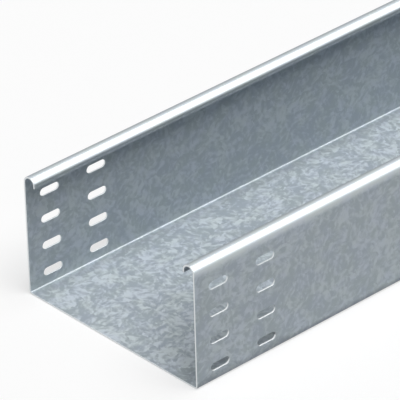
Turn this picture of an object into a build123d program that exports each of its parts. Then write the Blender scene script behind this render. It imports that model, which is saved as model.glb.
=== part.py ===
from build123d import *
import os

# A solid bottom cable tray: one length of zinc coated steel sheet, rolled to shape.
# The base has no holes, the two sides stand upright, and each side's top edge is
# curled inwards into a hook. Slots near both ends of the sides take the joint bolts.
# Millimetres. X runs along the tray, Y across it, Z up from the face it rests on.

# Driving sizes.
LENGTH = 3000
WIDTH = 200
SIDE_HEIGHT = 112
SHEET = 1.5
FOLD_INNER_RADIUS = 1.5
RIM_INNER_RADIUS = 5
RIM_LIP = 2
SLOT_LENGTH = 20
SLOT_WIDTH = 7
SLOT_PITCH_ALONG = 50
SLOT_PITCH_UP = 25
SLOT_COLUMNS = 2
SLOT_ROWS = 4
FIRST_SLOT_FROM_END = 25
LOWEST_SLOT_HEIGHT = 13.5

# Sizes that follow from them.
FOLD_RADIUS = FOLD_INNER_RADIUS + SHEET
RIM_RADIUS = RIM_INNER_RADIUS + SHEET
HALF_WIDTH = WIDTH / 2
WALL_FACE = HALF_WIDTH - SHEET
RIM_LINE = SIDE_HEIGHT - RIM_RADIUS
RIM_MIDDLE = HALF_WIDTH - RIM_RADIUS
LIP_FACE = HALF_WIDTH - 2 * RIM_RADIUS
LIP_BACK = LIP_FACE + SHEET
LIP_BOTTOM = RIM_LINE - RIM_LIP
SLOT_GROUP_X = LENGTH / 2 - FIRST_SLOT_FROM_END - SLOT_PITCH_ALONG * (SLOT_COLUMNS - 1) / 2
SLOT_GROUP_Z = LOWEST_SLOT_HEIGHT + SLOT_PITCH_UP * (SLOT_ROWS - 1) / 2


def half_section():
    """One side of the sheet's cross section, from the middle of the base to the lip."""
    with BuildSketch() as sketch:
        with BuildLine():
            # The outer skin: base, fold, wall, curl and lip.
            Line((0, 0), (HALF_WIDTH - FOLD_RADIUS, 0))
            RadiusArc((HALF_WIDTH - FOLD_RADIUS, 0), (HALF_WIDTH, FOLD_RADIUS), -FOLD_RADIUS)
            Line((HALF_WIDTH, FOLD_RADIUS), (HALF_WIDTH, RIM_LINE))
            ThreePointArc((HALF_WIDTH, RIM_LINE), (RIM_MIDDLE, SIDE_HEIGHT), (LIP_FACE, RIM_LINE))
            Line((LIP_FACE, RIM_LINE), (LIP_FACE, LIP_BOTTOM))
            # Across the lip's cut edge.
            Line((LIP_FACE, LIP_BOTTOM), (LIP_BACK, LIP_BOTTOM))
            # Back along the inner skin.
            Line((LIP_BACK, LIP_BOTTOM), (LIP_BACK, RIM_LINE))
            ThreePointArc((LIP_BACK, RIM_LINE), (RIM_MIDDLE, SIDE_HEIGHT - SHEET), (WALL_FACE, RIM_LINE))
            Line((WALL_FACE, RIM_LINE), (WALL_FACE, FOLD_RADIUS))
            RadiusArc((WALL_FACE, FOLD_RADIUS), (HALF_WIDTH - FOLD_RADIUS, SHEET), FOLD_INNER_RADIUS)
            Line((HALF_WIDTH - FOLD_RADIUS, SHEET), (0, SHEET))
            Line((0, SHEET), (0, 0))
        make_face()
    return sketch.sketch


def cable_tray():
    """The whole tray as one piece of sheet."""
    with BuildPart() as tray:
        # The section is the same on both sides of its middle line.
        with BuildSketch(Plane.YZ):
            add(half_section())
            mirror(about=Plane.YZ)
        extrude(amount=LENGTH / 2, both=True)
        # The joint slots pass through both walls at once, the same at each end.
        with BuildSketch(Plane.XZ):
            with Locations((-SLOT_GROUP_X, SLOT_GROUP_Z), (SLOT_GROUP_X, SLOT_GROUP_Z)):
                with GridLocations(SLOT_PITCH_ALONG, SLOT_PITCH_UP, SLOT_COLUMNS, SLOT_ROWS):
                    SlotOverall(SLOT_LENGTH, SLOT_WIDTH)
        extrude(amount=WIDTH, both=True, mode=Mode.SUBTRACT)
    return tray.part


os.makedirs("parts", exist_ok=True)
tray = cable_tray()
export_step(tray, "parts/cable_tray.step")
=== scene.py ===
"""A solid bottom cable tray of zinc coated sheet, as its maker's photograph shows it.

The tray is one sheet of steel. Its flat blank is laid out here as a grid with the joint
slots cut in, and then rolled up along the tray's section: base, folds, walls, curled rims
and lips. Lengths are in metres in the part's own frame: X runs along the tray, Y across
it and Z up from the face it rests on.
"""

import logging
import math
from dataclasses import dataclass, field
from enum import Enum

import bpy
from mathutils import Matrix, Vector


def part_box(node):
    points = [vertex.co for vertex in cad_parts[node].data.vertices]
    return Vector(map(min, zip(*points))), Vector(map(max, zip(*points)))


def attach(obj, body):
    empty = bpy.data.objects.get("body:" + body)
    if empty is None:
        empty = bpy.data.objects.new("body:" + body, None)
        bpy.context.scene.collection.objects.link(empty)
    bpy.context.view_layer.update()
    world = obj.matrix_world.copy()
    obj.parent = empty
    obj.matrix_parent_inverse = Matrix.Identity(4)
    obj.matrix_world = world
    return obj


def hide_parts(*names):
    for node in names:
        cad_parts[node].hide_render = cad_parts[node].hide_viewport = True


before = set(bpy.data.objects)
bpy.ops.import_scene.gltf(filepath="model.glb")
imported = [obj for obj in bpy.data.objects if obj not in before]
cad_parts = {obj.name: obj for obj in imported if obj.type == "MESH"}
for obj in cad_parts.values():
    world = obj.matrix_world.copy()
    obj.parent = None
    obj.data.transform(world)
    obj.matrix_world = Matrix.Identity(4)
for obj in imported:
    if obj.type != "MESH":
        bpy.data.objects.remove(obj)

SHEET_NODE = "cable_tray"
PIECE_NAME = "rolled_sheet"
MM = 0.001

log = logging.getLogger("cable_tray")


class Skin(Enum):
    """The two faces of the sheet: the one that was outermost in every bend, and the other."""

    OUTER = 1
    INNER = -1


class SheetMark(Enum):
    """What each point of the sheet carries for its finish, and for the shade painted into its colour, to read."""

    BLANK = "blank_place"
    WORKED = "worked_by_rolls"
    BASE = "on_the_base"
    CUT = "cut_edge"
    # The outside of the folds, painted darker as shade where they meet the table.
    FOLD_BACK = "fold_outside"


class Bend(Enum):
    """How a run of the section is formed, valued by how far the rolls burnish it."""

    FLAT = 0.0
    FOLD = 0.45
    CURL = 1.0


@dataclass(frozen=True)
class Run:
    """One straight or round run of the sheet's middle line, seen along the tray.

    Args:
        start: Place of its first point, across and up.
        heading: Direction it sets off in, in radians from +Y towards +Z.
        length: Length along the middle line.
        turn: Angle it turns through, anticlockwise, or 0 for a straight run.
        bend: Whether the forming rolls worked it.
    """

    start: tuple[float, float]
    heading: float
    length: float
    turn: float
    bend: Bend

    def at(self, along: float) -> tuple[float, float, float]:
        """Finds a point of the middle line.

        Args:
            along: Distance from the run's start.

        Returns:
            The point across and up, and the heading there.
        """
        y, z = self.start
        if self.turn == 0:
            return (y + along * math.cos(self.heading), z + along * math.sin(self.heading), self.heading)
        radius = self.length / abs(self.turn)
        side = math.copysign(1, self.turn)
        heading = self.heading + self.turn * along / self.length
        centre_y = y - side * radius * math.sin(self.heading)
        centre_z = z + side * radius * math.cos(self.heading)
        return (centre_y + side * radius * math.sin(heading), centre_z - side * radius * math.cos(heading), heading)


@dataclass
class SheetSection:
    """The tray's cross section as a path for the sheet's middle line, from lip to lip.

    The path starts at the right wall's lip and ends at the left wall's, and the sheet's
    outer skin lies to the right of it.
    """

    width: float
    height: float
    sheet: float = 1.5 * MM
    fold_inner_radius: float = 1.5 * MM
    rim_inner_radius: float = 5.0 * MM
    rim_lip: float = 2.0 * MM
    runs: list[Run] = field(default_factory=list)

    def __post_init__(self) -> None:
        """Lays the runs end to end."""
        half_sheet = self.sheet / 2
        rim = self.rim_inner_radius + half_sheet
        fold = self.fold_inner_radius + half_sheet
        wall = self.height - (self.rim_inner_radius + self.sheet) - (self.fold_inner_radius + self.sheet)
        base = self.width - 2 * (self.fold_inner_radius + self.sheet)
        lip_y = -self.width / 2 + half_sheet + 2 * rim
        lip_z = self.height - self.rim_inner_radius - self.sheet - self.rim_lip
        quarter = math.pi / 2
        path = (
            (self.rim_lip, 0.0, Bend.FLAT),
            (math.pi * rim, math.pi, Bend.CURL),
            (wall, 0.0, Bend.FLAT),
            (quarter * fold, quarter, Bend.FOLD),
            (base, 0.0, Bend.FLAT),
            (quarter * fold, quarter, Bend.FOLD),
            (wall, 0.0, Bend.FLAT),
            (math.pi * rim, math.pi, Bend.CURL),
            (self.rim_lip, 0.0, Bend.FLAT),
        )
        point = (lip_y, lip_z)
        heading = quarter
        for length, turn, bend in path:
            run = Run(point, heading, length, turn, bend)
            self.runs.append(run)
            y, z, heading = run.at(length)
            point = (y, z)

    @property
    def girth(self) -> float:
        """The blank's width, which is the middle line's whole length."""
        return sum(run.length for run in self.runs)

    def starts(self) -> list[float]:
        """The girth at which each run starts, and the whole girth last."""
        found = [0.0]
        for run in self.runs:
            found.append(found[-1] + run.length)
        return found

    def rolled(self, x: float, girth: float, lift: float) -> tuple[Vector, Vector]:
        """Takes a point of the blank to its place on the rolled tray.

        Args:
            x: Place along the tray.
            girth: Distance across the blank from the right lip's edge.
            lift: Height above the middle line, positive towards the outer skin.

        Returns:
            The point, and the outward normal of the outer skin there.
        """
        starts = self.starts()
        index = max(i for i in range(len(self.runs)) if i == 0 or starts[i] <= girth + 1e-9)
        y, z, heading = self.runs[index].at(girth - starts[index])
        normal = Vector((0.0, math.sin(heading), -math.cos(heading)))
        return Vector((x, y, z)) + normal * lift, normal


@dataclass(frozen=True)
class SlotGroup:
    """The joint slots that one wall has at each end of the tray."""

    length: float = 20.0 * MM
    width: float = 7.0 * MM
    pitch_along: float = 50.0 * MM
    pitch_up: float = 25.0 * MM
    columns: int = 2
    rows: int = 4
    first_from_end: float = 25.0 * MM
    lowest_height: float = 13.5 * MM

    def outline(self, steps: int, shrink: float = 0.0) -> list[tuple[float, float]]:
        """Points round a slot's rim.

        Args:
            steps: Number of steps round each round end.
            shrink: How far inside the rim the points lie, negative for outside.

        Returns:
            Points along and across the slot, anticlockwise from its lower right bend.
        """
        radius = self.width / 2 - shrink
        half_straight = (self.length - self.width) / 2
        points = []
        for side in (1, -1):
            for k in range(steps + 1):
                angle = math.pi * (k / steps - side / 2)
                points.append((side * half_straight + radius * math.cos(angle), radius * math.sin(angle)))
        return points


@dataclass(frozen=True)
class CutEdge:
    """How a cut edge of the sheet is rounded by the zinc that covers it."""

    radius: float = 0.2 * MM
    steps: int = 2

    def rows(self, sheet: float) -> list[tuple[float, float, float]]:
        """Rows of points from the outer skin to the inner one, across a cut edge.

        Args:
            sheet: The sheet's thickness.

        Returns:
            For each row, how far it stands back from the cut, its lift from the middle
            line, and the tilt of its normal from the outer skin's, in radians.
        """
        half = sheet / 2
        corner = [
            (self.radius * (1 - math.sin(a)), half - self.radius * (1 - math.cos(a)), a)
            for a in (math.pi / 2 * k / self.steps for k in range(self.steps + 1))
        ]
        return corner + [(back, -lift, math.pi - tilt) for back, lift, tilt in reversed(corner)]


@dataclass
class RolledSheet:
    """The whole tray: its blank, laid out as a grid with slots, rolled along the section."""

    section: SheetSection
    slots: SlotGroup
    length: float
    edge: CutEdge = field(default_factory=CutEdge)
    rim_steps: int = 32
    fold_steps: int = 8
    cell_steps: int = 8
    base_steps: int = 16
    span: float = 0.1
    skin_gap: float = 0.05

    def build(self) -> bpy.types.Object:
        """Builds the sheet as one closed mesh.

        Returns:
            The new object, in its place in the row frame.
        """
        self.points: list[Vector] = []
        self.normals: list[Vector] = []
        self.marks: dict[SheetMark, list] = {mark: [] for mark in SheetMark}
        self.faces: list[tuple[int, ...]] = []
        along = self.along_stations()
        across = self.across_stations()
        cells = self.slot_cells(along, across)
        for skin in Skin:
            self.add_skin(skin, along, across, cells)
        self.add_outer_edge(along, across)
        for cell in cells:
            self.add_slot_edge(cell)
        return self.as_object()

    def along_stations(self) -> list[float]:
        """Places along the tray at which the grid has a line."""
        half = self.length / 2
        group = self.slots.columns * self.slots.pitch_along
        step = self.slots.pitch_along / self.cell_steps
        count = self.slots.columns * self.cell_steps
        start = self.slots.first_from_end - self.slots.pitch_along / 2
        near = [-half + start + step * k for k in range(count + 1)]
        middle_count = round((self.length - 2 * group) / self.span)
        middle_span = (self.length - 2 * (group + start)) / middle_count
        middle = [near[-1] + middle_span * k for k in range(1, middle_count)]
        return near + middle + [-x for x in reversed(near)]

    def across_stations(self) -> list[float]:
        """Places across the blank at which the grid has a line."""
        starts = self.section.starts()
        found = [0.0]
        for index, run in enumerate(self.section.runs):
            if run.bend is not Bend.FLAT:
                steps = self.rim_steps if run.bend is Bend.CURL else self.fold_steps
                inner = [run.length * k / steps for k in range(1, steps + 1)]
            elif run.length > self.section.width * 0.8:
                inner = [run.length * k / self.base_steps for k in range(1, self.base_steps + 1)]
            elif run.length > self.section.height / 2:
                inner = self.wall_stations(run, upwards=index > len(self.section.runs) / 2)
            else:
                inner = [run.length / 2, run.length]
            found += [starts[index] + s for s in inner]
        return found

    def wall_levels(self) -> list[float]:
        """Heights that bound the rows of slot cells in a wall."""
        low = self.section.fold_inner_radius + self.section.sheet
        levels = [low]
        for row in range(self.slots.rows):
            levels.append(self.slots.lowest_height + self.slots.pitch_up * (row + 0.5))
        return levels

    def wall_stations(self, run: Run, upwards: bool) -> list[float]:
        """Grid lines in a wall, as distances from the wall run's start.

        Args:
            run: The wall's run.
            upwards: Whether the run climbs the wall.

        Returns:
            Distances along the run, its end included and its start left out.
        """
        low = self.section.fold_inner_radius + self.section.sheet
        heights = []
        levels = self.wall_levels()
        for bottom, top in zip(levels, levels[1:]):
            heights += [bottom + (top - bottom) * k / self.cell_steps for k in range(self.cell_steps)]
        heights += [levels[-1], low + run.length]
        climbed = [h - low for h in heights]
        if upwards:
            return climbed[1:]
        return [run.length - c for c in reversed(climbed)][1:]

    def slot_cells(self, along: list[float], across: list[float]) -> list[dict]:
        """Finds the block of the grid round each slot.

        Args:
            along: Grid lines along the tray.
            across: Grid lines across the blank.

        Returns:
            For each slot, its centre in the blank and the block's first grid lines.
        """
        starts = self.section.starts()
        low = self.section.fold_inner_radius + self.section.sheet
        levels = self.wall_levels()
        cells = []
        walls = [i for i, run in enumerate(self.section.runs)
                 if run.bend is Bend.FLAT and self.section.height / 2 < run.length < self.section.width * 0.8]
        for wall in walls:
            upwards = wall > len(self.section.runs) / 2
            for end in (-1, 1):
                for column in range(self.slots.columns):
                    from_end = self.slots.first_from_end + column * self.slots.pitch_along
                    x = end * (self.length / 2 - from_end)
                    i = min(range(len(along)), key=lambda k: abs(along[k] - (x - self.slots.pitch_along / 2)))
                    for row in range(self.slots.rows):
                        centre = self.slots.lowest_height + row * self.slots.pitch_up - low
                        edge = (levels[row] if upwards else levels[row + 1]) - low
                        if not upwards:
                            centre = self.section.runs[wall].length - centre
                            edge = self.section.runs[wall].length - edge
                        s = starts[wall] + centre
                        j = min(range(len(across)), key=lambda k: abs(across[k] - (starts[wall] + edge)))
                        cells.append({"x": x, "s": s, "i": i, "j": j})
        return cells

    def add_point(self, x: float, girth: float, lift: float, tilt: float = 0.0,
                  facing: tuple[float, float] = (0.0, 0.0)) -> int:
        """Adds one point of the rolled sheet.

        Args:
            x: Place along the tray.
            girth: Place across the blank.
            lift: Height above the middle line.
            tilt: Angle of its normal from the outer skin's.
            facing: Direction in the blank that a cut edge faces.

        Returns:
            The new point's number.
        """
        place, normal = self.section.rolled(x, girth, lift)
        ahead, _ = self.section.rolled(x, min(girth + 0.01 * MM, self.section.girth), lift)
        behind, _ = self.section.rolled(x, max(girth - 0.01 * MM, 0.0), lift)
        across = (ahead - behind).normalized()
        outward = Vector((facing[0], 0.0, 0.0)) + across * facing[1]
        self.points.append(place)
        self.normals.append((normal * math.cos(tilt) + outward * math.sin(tilt)).normalized())
        self.marks[SheetMark.BLANK].append((x, girth, math.copysign(self.skin_gap, math.cos(tilt))))
        self.marks[SheetMark.WORKED].append(self.worked_at(girth, tilt))
        self.marks[SheetMark.BASE].append(self.base_at(girth))
        self.marks[SheetMark.CUT].append(math.sin(tilt))
        self.marks[SheetMark.FOLD_BACK].append(self.fold_back_at(girth, tilt))
        return len(self.points) - 1

    def worked_at(self, girth: float, tilt: float) -> float:
        """How far the rolls burnished the sheet.

        Args:
            girth: Place across the blank.
            tilt: Angle of the point's normal from the outer skin's.

        Returns:
            An amount from 0 to 1: a curl is burnished outside, and a fold inside.
        """
        starts = self.section.starts()
        amount = 0.0
        for index, run in enumerate(self.section.runs):
            outside = max(starts[index] - girth, girth - starts[index + 1], 0.0)
            burnished = Skin.OUTER if run.bend is Bend.CURL else Skin.INNER
            if math.cos(tilt) * burnished.value < 0:
                continue
            amount = max(amount, run.bend.value * (1 - outside / (1 * MM)))
        return amount

    def fold_back_at(self, girth: float, tilt: float) -> float:
        """Tells the outside of the folds, 1, from the rest of the sheet, 0."""
        starts = self.section.starts()
        folds = [k for k, run in enumerate(self.section.runs) if run.bend is Bend.FOLD]
        return float(math.cos(tilt) > 0 and any(starts[k] - 1e-9 <= girth <= starts[k + 1] + 1e-9 for k in folds))

    def base_at(self, girth: float) -> float:
        """How far a place belongs to the tray's base, 1 on it and 0 on the walls."""
        starts = self.section.starts()
        middle = len(self.section.runs) // 2
        outside = max(starts[middle] - girth, girth - starts[middle + 1], 0.0)
        return max(0.0, 1 - outside / (3 * MM))

    def set_back(self, value: float, lines: list[float]) -> float:
        """Moves the first and last of the grid lines in by the cut edge's radius."""
        if value == lines[0]:
            return value + self.edge.radius
        if value == lines[-1]:
            return value - self.edge.radius
        return value

    def add_skin(self, skin: Skin, along: list[float], across: list[float], cells: list[dict]) -> None:
        """Adds one face of the sheet, with a ring of quads round each slot.

        Args:
            skin: Which face.
            along: Grid lines along the tray.
            across: Grid lines across the blank.
            cells: The blocks of the grid that hold a slot.
        """
        lift = skin.value * self.section.sheet / 2
        tilt = 0.0 if skin is Skin.OUTER else math.pi
        grid = {}
        covered = set()
        inside = set()
        n = self.cell_steps
        for cell in cells:
            for a in range(n):
                for b in range(n):
                    covered.add((cell["i"] + a, cell["j"] + b))
                    if a and b:
                        inside.add((cell["i"] + a, cell["j"] + b))
        for i, x in enumerate(along):
            for j, s in enumerate(across):
                if (i, j) not in inside:
                    grid[i, j] = self.add_point(self.set_back(x, along), self.set_back(s, across), lift, tilt)
        for i in range(len(along) - 1):
            for j in range(len(across) - 1):
                if (i, j) not in covered:
                    self.add_face(skin, grid[i, j], grid[i + 1, j], grid[i + 1, j + 1], grid[i, j + 1])
        for cell in cells:
            rim = self.slot_rim(cell, lift, tilt, -self.edge.radius)
            block = [grid[place] for place in self.block_round(cell)]
            count = len(rim)
            for k in range(count):
                m = (k + 1) % count
                self.add_face(skin, rim[k], block[k], block[m], rim[m])
            cell[skin] = rim
        if skin is Skin.OUTER:
            self.outer_grid = grid
        else:
            self.inner_grid = grid

    def block_round(self, cell: dict) -> list[tuple[int, int]]:
        """Grid places round a slot's block, anticlockwise from its bottom edge's middle."""
        n = self.cell_steps
        i, j = cell["i"], cell["j"]
        bottom = [(i + k, j) for k in range(n)]
        right = [(i + n, j + k) for k in range(n)]
        top = [(i + n - k, j + n) for k in range(n)]
        left = [(i, j + n - k) for k in range(n)]
        ring = bottom + right + top + left
        turn = n - n // 4
        return ring[turn:] + ring[:turn]

    def slot_rim(self, cell: dict, lift: float, tilt: float, shrink: float) -> list[int]:
        """Adds the points round a slot at one level of the sheet.

        Args:
            cell: The slot's block.
            lift: Height above the middle line.
            tilt: Angle of the normals from the outer skin's.
            shrink: How far inside the slot's rim they lie.

        Returns:
            The new points' numbers, in the order of block_round.
        """
        steps = 2 * self.cell_steps - 1
        ring = []
        for u, v in self.slots.outline(steps, shrink):
            half_straight = (self.slots.length - self.slots.width) / 2
            away = Vector((u - math.copysign(half_straight, u), v)).normalized()
            ring.append(self.add_point(cell["x"] + u, cell["s"] + v, lift, tilt, (-away.x, -away.y)))
        return ring

    def add_face(self, skin: Skin, *corners: int) -> None:
        """Adds a face whose corners run anticlockwise in the blank, seen from the inner skin."""
        self.faces.append(corners if skin is Skin.INNER else tuple(reversed(corners)))

    def join_rows(self, rows: list[list[int]]) -> None:
        """Joins rings of points, from the outer skin to the inner one, with quads."""
        for upper, lower in zip(rows, rows[1:]):
            count = len(upper)
            for k in range(count):
                m = (k + 1) % count
                self.faces.append((upper[k], upper[m], lower[m], lower[k]))

    def add_slot_edge(self, cell: dict) -> None:
        """Adds the cut face inside one slot."""
        rows = [cell[Skin.OUTER]]
        for back, lift, tilt in self.edge.rows(self.section.sheet)[1:-1]:
            rows.append(self.slot_rim(cell, lift, tilt, -back))
        rows.append(cell[Skin.INNER])
        self.join_rows([list(reversed(row)) for row in rows])

    def add_outer_edge(self, along: list[float], across: list[float]) -> None:
        """Adds the cut faces at the tray's ends and along its lips.

        Args:
            along: Grid lines along the tray.
            across: Grid lines across the blank.
        """
        last_i, last_j = len(along) - 1, len(across) - 1
        loop = [(i, 0) for i in range(last_i)] + [(last_i, j) for j in range(last_j)]
        loop += [(i, last_j) for i in range(last_i, 0, -1)] + [(0, j) for j in range(last_j, 0, -1)]
        rows = [[self.outer_grid[place] for place in loop]]
        for back, lift, tilt in self.edge.rows(self.section.sheet)[1:-1]:
            row = []
            for i, j in loop:
                end = (i == last_i) - (i == 0)
                side = (j == last_j) - (j == 0)
                facing = Vector((end, side)).normalized()
                row.append(self.add_point(along[i] - end * back, across[j] - side * back, lift, tilt,
                                          (facing.x, facing.y)))
            rows.append(row)
        rows.append([self.inner_grid[place] for place in loop])
        self.join_rows(rows)

    def as_object(self) -> bpy.types.Object:
        """Turns the collected points and faces into an object.

        Returns:
            The new object, smooth shaded with the sheet's true normals.
        """
        mesh = bpy.data.meshes.new(PIECE_NAME)
        mesh.from_pydata(self.points, [], self.faces)
        mesh.validate()
        for mark, values in self.marks.items():
            if mark is SheetMark.BLANK:
                layer = mesh.attributes.new(mark.value, "FLOAT_VECTOR", "POINT")
                layer.data.foreach_set("vector", [v for place in values for v in place])
            else:
                mesh.attributes.new(mark.value, "FLOAT", "POINT").data.foreach_set("value", values)
        mesh.shade_smooth()
        mesh.normals_split_custom_set_from_vertices(self.normals)
        piece = bpy.data.objects.new(PIECE_NAME, mesh)
        bpy.context.scene.collection.objects.link(piece)
        return piece

    def dress(self, piece: bpy.types.Object, finish: "ZincFinish") -> None:
        """Gives the sheet its finish and ties it to the CAD node it stands for.

        Args:
            piece: The sheet's object.
            finish: The coating.
        """
        near_right = (-self.length / 2, self.section.starts()[len(self.section.runs) // 2])
        piece.data.materials.append(finish.material(near_right))
        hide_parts(SHEET_NODE)
        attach(piece, "root")


class NodeDesk:
    """Adds and joins the nodes of one material or world."""

    def __init__(self, tree: bpy.types.NodeTree) -> None:
        """Takes the node tree to work on."""
        self.tree = tree

    def add(self, kind: str, **settings: object) -> bpy.types.Node:
        """Adds a node.

        Args:
            kind: The node's type.
            settings: Its properties.

        Returns:
            The new node.
        """
        node = self.tree.nodes.new(kind)
        for name, value in settings.items():
            setattr(node, name, value)
        return node

    def feed(self, socket: bpy.types.NodeSocket, value: object) -> None:
        """Gives an input its value, which is another node's output or a constant."""
        if isinstance(value, bpy.types.NodeSocket):
            self.tree.links.new(value, socket)
        else:
            socket.default_value = value

    def scaled(self, colour: bpy.types.NodeSocket, share: bpy.types.NodeSocket) -> bpy.types.NodeSocket:
        """Dims a colour by a share."""
        node = self.add("ShaderNodeVectorMath", operation="SCALE")
        self.feed(node.inputs[0], colour)
        self.feed(node.inputs["Scale"], share)
        return node.outputs[0]

    def sum(self, operation: str, *values: object, clamp: bool = False) -> bpy.types.NodeSocket:
        """Works out one number from others.

        Args:
            operation: The sum's name.
            values: Outputs or constants.
            clamp: Whether to keep the result between 0 and 1.

        Returns:
            The result.
        """
        node = self.add("ShaderNodeMath", operation=operation, use_clamp=clamp)
        for socket, value in zip(node.inputs, values):
            self.feed(socket, value)
        return node.outputs[0]

    def vector(self, operation: str, *values: object) -> bpy.types.NodeSocket:
        """Works out one vector from others, as sum does with numbers."""
        node = self.add("ShaderNodeVectorMath", operation=operation)
        for socket, value in zip(node.inputs, values):
            self.feed(socket, value)
        return node.outputs[0]

    def seen_ray(self) -> bpy.types.NodeSocket:
        """Tells the rays of the eye, and those that metal and glass show, from the rest."""
        path = self.add("ShaderNodeLightPath")
        seen = self.sum("MAXIMUM", path.outputs["Is Camera Ray"], path.outputs["Is Glossy Ray"])
        return self.sum("MAXIMUM", seen, path.outputs["Is Transmission Ray"])

    def noise(self, place: bpy.types.NodeSocket, size: float, detail: float = 2.0,
              roughness: float = 0.5) -> bpy.types.Node:
        """Adds a cloudy pattern.

        Args:
            place: Where it is looked up.
            size: The size of its largest forms.
            detail: How many finer layers it has.
            roughness: How strong the finer layers are.

        Returns:
            The noise node.
        """
        node = self.add("ShaderNodeTexNoise")
        self.feed(node.inputs["Vector"], place)
        self.feed(node.inputs["Scale"], 1 / size)
        self.feed(node.inputs["Detail"], detail)
        self.feed(node.inputs["Roughness"], roughness)
        return node

    def spread(self, value: bpy.types.NodeSocket, low: float, high: float) -> bpy.types.NodeSocket:
        """Stretches the range from low to high over 0 to 1, smoothly."""
        node = self.add("ShaderNodeMapRange", interpolation_type="SMOOTHSTEP")
        self.feed(node.inputs["Value"], value)
        self.feed(node.inputs["From Min"], low)
        self.feed(node.inputs["From Max"], high)
        return node.outputs[0]

    def mix(self, share: object, first: object, second: object) -> bpy.types.NodeSocket:
        """Mixes two colours.

        Args:
            share: Share of the second.
            first: A colour or an output.
            second: A colour or an output.

        Returns:
            The mixed colour.
        """
        node = self.add("ShaderNodeMix", data_type="RGBA")
        self.feed(node.inputs[0], share)
        self.feed(node.inputs[6], first)
        self.feed(node.inputs[7], second)
        return node.outputs[2]


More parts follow.
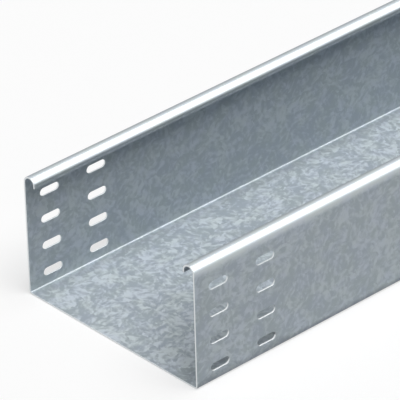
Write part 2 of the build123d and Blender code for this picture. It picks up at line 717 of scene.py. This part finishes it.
@dataclass(frozen=True)
class ZincFinish:
    """Hot dip zinc with a fine, feathery spangle, with some shade and a glint painted into its colour.

    Colours are linear. Sizes are those of the pattern on the flat blank.
    """

    dark: tuple[float, float, float, float] = (0.365, 0.415, 0.455, 1.0)
    light: tuple[float, float, float, float] = (0.585, 0.645, 0.685, 1.0)
    # The cut faces' colour: bare metal lighter than the coat, and partly a painted glint on the cut edges.
    cut: tuple[float, float, float, float] = (0.74, 0.77, 0.78, 1.0)
    burnished: tuple[float, float, float, float] = (0.46, 0.50, 0.52, 1.0)
    edge_tint: tuple[float, float, float, float] = (0.45, 0.45, 0.45, 1.0)
    metallic: float = 0.1
    shine: float = 0.3
    roughness: float = 0.5
    burnished_roughness: float = 0.42
    base_tone: float = 0.42
    # The walls' tone is set lower than the base's: painted shade on the walls.
    wall_shaded_tone: float = 0.2
    crystal: float = 12.0 * MM
    flake: float = 4.2 * MM
    flake_stretch: float = 0.6
    cluster: float = 24.0 * MM
    ragged: float = 7.0 * MM
    wall_spangle: float = 0.5
    bump_height: float = 0.012 * MM
    cool: tuple[float, float, float, float] = (0.99, 0.99, 1.02, 1.0)
    warm: tuple[float, float, float, float] = (1.0, 1.005, 0.98, 1.0)
    # Painted shade on the outside of the folds, where they meet the table.
    fold_painted_shade: float = 0.3
    # A patch of painted shade on the base, beside the near end of the right wall.
    shade_patch_from_end: float = 75.0 * MM
    shade_patch_from_wall: float = 60.0 * MM
    shade_patch_size: float = 70.0 * MM
    shade_patch_depth: float = 0.25

    def material(self, corner: tuple[float, float]) -> bpy.types.Material:
        """Builds the coating's material.

        Args:
            corner: The base's near right corner, along and across the blank.

        Returns:
            A material of nodes only.
        """
        made = bpy.data.materials.new("zinc_coat")
        made.use_nodes = True
        desk = NodeDesk(made.node_tree)
        shader = made.node_tree.nodes["Principled BSDF"]
        spangle = self.spangle(desk)
        base = self.named(desk, SheetMark.BASE)
        worked = self.named(desk, SheetMark.WORKED)
        # The walls take a lower tone than the base: painted shade.
        shown = desk.sum("MULTIPLY_ADD", base, 1 - self.wall_spangle, self.wall_spangle)
        middle = desk.sum("MULTIPLY_ADD", base, self.base_tone - self.wall_shaded_tone, self.wall_shaded_tone)
        tone = desk.sum("MULTIPLY_ADD", desk.sum("SUBTRACT", spangle, self.base_tone), shown, middle, clamp=True)
        zinc = desk.mix(worked, desk.mix(tone, self.dark, self.light), self.burnished)
        zinc = desk.vector("MULTIPLY", zinc, self.hue(desk))
        # Painted shade on the base beside the near end of the right wall.
        zinc = desk.scaled(zinc, self.painted_shade_patch(desk, corner))
        # Painted shade on the outside of the folds, where they meet the table.
        fold_back = self.named(desk, SheetMark.FOLD_BACK)
        zinc = desk.scaled(zinc, desk.sum("MULTIPLY_ADD", fold_back, -self.fold_painted_shade, 1.0))
        rough = desk.sum("MULTIPLY_ADD", worked, self.burnished_roughness - self.roughness, self.roughness)
        # The cut faces get a lighter colour: bare metal, and partly a painted glint.
        cut = self.named(desk, SheetMark.CUT)
        shiny = desk.sum("MAXIMUM", worked, cut)
        desk.feed(shader.inputs["Base Color"], desk.mix(cut, zinc, self.cut))
        desk.feed(shader.inputs["Metallic"], desk.sum("MULTIPLY_ADD", shiny, 1 - self.metallic, self.metallic))
        desk.feed(shader.inputs["Roughness"], rough)
        shader.inputs["Specular IOR Level"].default_value = self.shine
        shader.inputs["Specular Tint"].default_value = self.edge_tint
        bump = desk.add("ShaderNodeBump")
        bump.inputs["Strength"].default_value = 0.3
        bump.inputs["Distance"].default_value = self.bump_height
        desk.feed(bump.inputs["Height"], spangle)
        desk.feed(shader.inputs["Normal"], bump.outputs[0])
        return made

    def hue(self, desk: NodeDesk) -> bpy.types.NodeSocket:
        """Draws the zinc's faint change between a cooler and a warmer grey."""
        blank = desk.add("ShaderNodeAttribute", attribute_name=SheetMark.BLANK.value).outputs["Vector"]
        change = desk.noise(blank, 0.7 * self.cluster, detail=3.0).outputs["Fac"]
        return desk.mix(desk.spread(change, 0.35, 0.65), self.cool, self.warm)

    def named(self, desk: NodeDesk, mark: "SheetMark") -> bpy.types.NodeSocket:
        """Reads one of the marks that the sheet's points carry."""
        return desk.add("ShaderNodeAttribute", attribute_name=mark.value).outputs["Fac"]

    def spangle(self, desk: NodeDesk) -> bpy.types.NodeSocket:
        """Draws the zinc's crystals: ragged patches of short flakes, each lying its own way.

        Args:
            desk: The material's nodes.

        Returns:
            How light the zinc is, from 0 to 1.
        """
        blank = desk.add("ShaderNodeAttribute", attribute_name=SheetMark.BLANK.value).outputs["Vector"]
        push = desk.noise(blank, self.ragged, detail=2.0, roughness=0.5).outputs["Color"]
        push = desk.vector("SUBTRACT", push, (0.5, 0.5, 0.5))
        ragged = desk.vector("MULTIPLY_ADD", push, (self.crystal, self.crystal, 0.0), blank)
        crystals = desk.add("ShaderNodeTexVoronoi", feature="F1", voronoi_dimensions="3D")
        desk.feed(crystals.inputs["Vector"], ragged)
        desk.feed(crystals.inputs["Scale"], 1 / self.crystal)
        chance = desk.add("ShaderNodeSeparateColor")
        desk.feed(chance.inputs[0], crystals.outputs["Color"])
        turn = desk.add("ShaderNodeVectorRotate", rotation_type="Z_AXIS")
        desk.feed(turn.inputs["Vector"], blank)
        desk.feed(turn.inputs["Angle"], desk.sum("MULTIPLY", chance.outputs[0], math.pi))
        laid = desk.vector("MULTIPLY", turn.outputs[0], (self.flake_stretch, 1.0, 1.0))
        grain = desk.noise(laid, self.flake, detail=2.0, roughness=0.5).outputs["Fac"]
        patches = desk.add("ShaderNodeTexVoronoi", feature="F1", voronoi_dimensions="3D")
        desk.feed(patches.inputs["Vector"], desk.vector("MULTIPLY_ADD", push, (self.flake, self.flake, 0.0), laid))
        desk.feed(patches.inputs["Scale"], 1 / self.flake)
        facet = desk.add("ShaderNodeSeparateColor")
        desk.feed(facet.inputs[0], patches.outputs["Color"])
        flakes = desk.sum("MULTIPLY_ADD", desk.sum("SUBTRACT", facet.outputs[0], 0.5), 0.2, grain)
        cluster = desk.noise(blank, self.cluster, detail=2.0, roughness=0.5).outputs["Fac"]
        mixed = desk.sum("MULTIPLY_ADD", desk.sum("SUBTRACT", cluster, 0.5), 0.45, flakes)
        mixed = desk.sum("MULTIPLY_ADD", desk.sum("SUBTRACT", chance.outputs[1], 0.5), 0.14, mixed)
        return desk.spread(mixed, 0.34, 0.72)

    def painted_shade_patch(self, desk: NodeDesk, corner: tuple[float, float]) -> bpy.types.NodeSocket:
        """Paints shade on the base beside the near end of the right wall, where that wall shades it.

        Args:
            desk: The material's nodes.
            corner: The base's corner there, along and across the blank.

        Returns:
            A factor for the zinc's colour.
        """
        blank = desk.add("ShaderNodeAttribute", attribute_name=SheetMark.BLANK.value).outputs["Vector"]
        centre = (corner[0] + self.shade_patch_from_end, corner[1] + self.shade_patch_from_wall, -RolledSheet.skin_gap)
        away = desk.add("ShaderNodeVectorMath", operation="DISTANCE")
        desk.feed(away.inputs[0], blank)
        desk.feed(away.inputs[1], centre)
        wander = desk.noise(blank, self.cluster, detail=2.0).outputs["Fac"]
        reach = desk.sum("MULTIPLY_ADD", wander, -self.shade_patch_size, away.outputs["Value"])
        return desk.sum("MULTIPLY_ADD", desk.spread(reach, -0.4 * self.shade_patch_size, 0.7 * self.shade_patch_size),
                        self.shade_patch_depth, 1 - self.shade_patch_depth)


@dataclass(frozen=True)
class Softbox:
    """A wide, distant lamp, placed by where it is seen from the tray.

    Args:
        name: What it is called.
        strength: How strong it is.
        spread: How wide it looks, in degrees.
        elevation: Its height above the horizon, in degrees.
        heading: Its direction from +X towards +Y, in degrees.
        lights: Whether it lights dull surfaces too, or is only seen mirrored in shiny ones.
    """

    name: str
    strength: float
    spread: float
    elevation: float
    heading: float
    lights: bool = True

    def hang(self) -> None:
        """Adds the lamp."""
        data = bpy.data.lights.new(self.name, "SUN")
        data.energy = self.strength
        data.angle = math.radians(self.spread)
        lamp = bpy.data.objects.new(self.name, data)
        up, round_about = math.radians(self.elevation), math.radians(self.heading)
        source = Vector((math.cos(up) * math.cos(round_about), math.cos(up) * math.sin(round_about), math.sin(up)))
        lamp.rotation_euler = source.to_track_quat("Z", "Y").to_euler()
        lamp.visible_diffuse = self.lights
        bpy.context.scene.collection.objects.link(lamp)


@dataclass(frozen=True)
class Studio:
    """A white table and backdrop, an even sky and the lamps."""

    table_size: float = 240.0
    table_bounce: float = 0.72
    table_glow: float = 0.6
    sky: float = 0.1
    high_softbox: Softbox = Softbox("high_softbox", strength=2.7, spread=50, elevation=73, heading=-70)
    rim_glint: Softbox = Softbox("rim_glint", strength=1.6, spread=56, elevation=37, heading=-44, lights=False)

    def build(self) -> None:
        """Builds the table, the sky and the lamp."""
        self.table()
        self.world()
        self.high_softbox.hang()
        self.rim_glint.hang()

    def table(self) -> None:
        """Adds the table top, just under the tray."""
        half = self.table_size / 2
        mesh = bpy.data.meshes.new("table_top")
        corners = [(-half, -half, 0.0), (half, -half, 0.0), (half, half, 0.0), (-half, half, 0.0)]
        mesh.from_pydata(corners, [], [(0, 1, 2, 3)])
        table = bpy.data.objects.new("table_top", mesh)
        table.location.z = -0.2 * MM
        bpy.context.scene.collection.objects.link(table)
        white = bpy.data.materials.new("white_table")
        white.use_nodes = True
        desk = NodeDesk(white.node_tree)
        shader = white.node_tree.nodes["Principled BSDF"]
        dimmer = (self.table_bounce, self.table_bounce, self.table_bounce, 1)
        desk.feed(shader.inputs["Base Color"], desk.mix(desk.seen_ray(), dimmer, (1, 1, 1, 1)))
        shader.inputs["Roughness"].default_value = 0.9
        shader.inputs["Specular IOR Level"].default_value = 0.0
        glow = desk.add("ShaderNodeEmission")
        glow.inputs["Color"].default_value = (1, 1, 1, 1)
        blend = desk.add("ShaderNodeMixShader")
        desk.feed(blend.inputs[0], desk.sum("MULTIPLY", desk.seen_ray(), self.table_glow))
        desk.feed(blend.inputs[1], shader.outputs[0])
        desk.feed(blend.inputs[2], glow.outputs[0])
        desk.feed(white.node_tree.nodes["Material Output"].inputs["Surface"], blend.outputs[0])
        mesh.materials.append(white)

    def world(self) -> None:
        """Makes the sky white to the eye and to metal, and softer as a light."""
        world = bpy.data.worlds.new("studio_sky")
        bpy.context.scene.world = world
        world.use_nodes = True
        desk = NodeDesk(world.node_tree)
        background = world.node_tree.nodes["Background"]
        background.inputs["Color"].default_value = (1, 1, 1, 1)
        strength = desk.sum("MULTIPLY_ADD", desk.seen_ray(), 1 - self.sky, self.sky)
        desk.feed(background.inputs["Strength"], strength)


@dataclass(frozen=True)
class PhotoCamera:
    """The camera of the photograph, worked out from the tray's own edges and slots."""

    image_width: float = 400.0
    focal_pixels: float = 4381.0
    sensor: float = 36.0
    aim_from_end: float = 8.3 * MM
    aim_height: float = 170.0 * MM
    distance: float = 3.3375
    heading: float = math.radians(47.97)
    elevation: float = math.radians(31.13)
    roll: float = math.radians(1.595)

    def build(self, length: float, width: float) -> bpy.types.Object:
        """Adds the camera and makes it the scene's.

        Args:
            length: The tray's length.
            width: The tray's width.

        Returns:
            The camera.
        """
        level = math.cos(self.elevation)
        forward = Vector((level * math.cos(self.heading), level * math.sin(self.heading),
                          -math.sin(self.elevation)))
        aim = Vector((-length / 2 + self.aim_from_end, -width / 2, self.aim_height))
        right = forward.cross(Vector((0, 0, 1))).normalized()
        up = right.cross(forward)
        turned = Matrix.Rotation(self.roll, 3, forward)
        right, up = turned @ right, turned @ up
        data = bpy.data.cameras.new("photo_camera")
        data.sensor_width = self.sensor
        data.lens = self.focal_pixels / self.image_width * self.sensor
        data.clip_end = 500.0
        camera = bpy.data.objects.new("photo_camera", data)
        axes = Matrix((right, up, -forward)).transposed().to_4x4()
        camera.matrix_world = Matrix.Translation(aim - forward * self.distance) @ axes
        bpy.context.scene.collection.objects.link(camera)
        bpy.context.scene.camera = camera
        return camera


def main() -> None:
    """Builds the tray, its finish, the studio and the camera, in that order."""
    logging.basicConfig(level=logging.INFO, format="%(name)s: %(message)s")
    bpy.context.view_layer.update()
    low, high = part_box(SHEET_NODE)
    length, width, height = (high - low)
    section = SheetSection(width=width, height=height)
    tray = RolledSheet(section=section, slots=SlotGroup(), length=length)
    piece = tray.build()
    tray.dress(piece, ZincFinish())
    log.info("%s: %d points, %d faces, girth %.1f mm", piece.name, len(piece.data.vertices),
             len(piece.data.polygons), section.girth / MM)
    Studio().build()
    log.info("studio: table, sky and lamp")
    camera = PhotoCamera().build(length, width)
    log.info("%s: lens %.1f mm", camera.name, camera.data.lens)
    bpy.context.scene.view_settings.view_transform = "Standard"


if __name__ == "__main__":
    main()
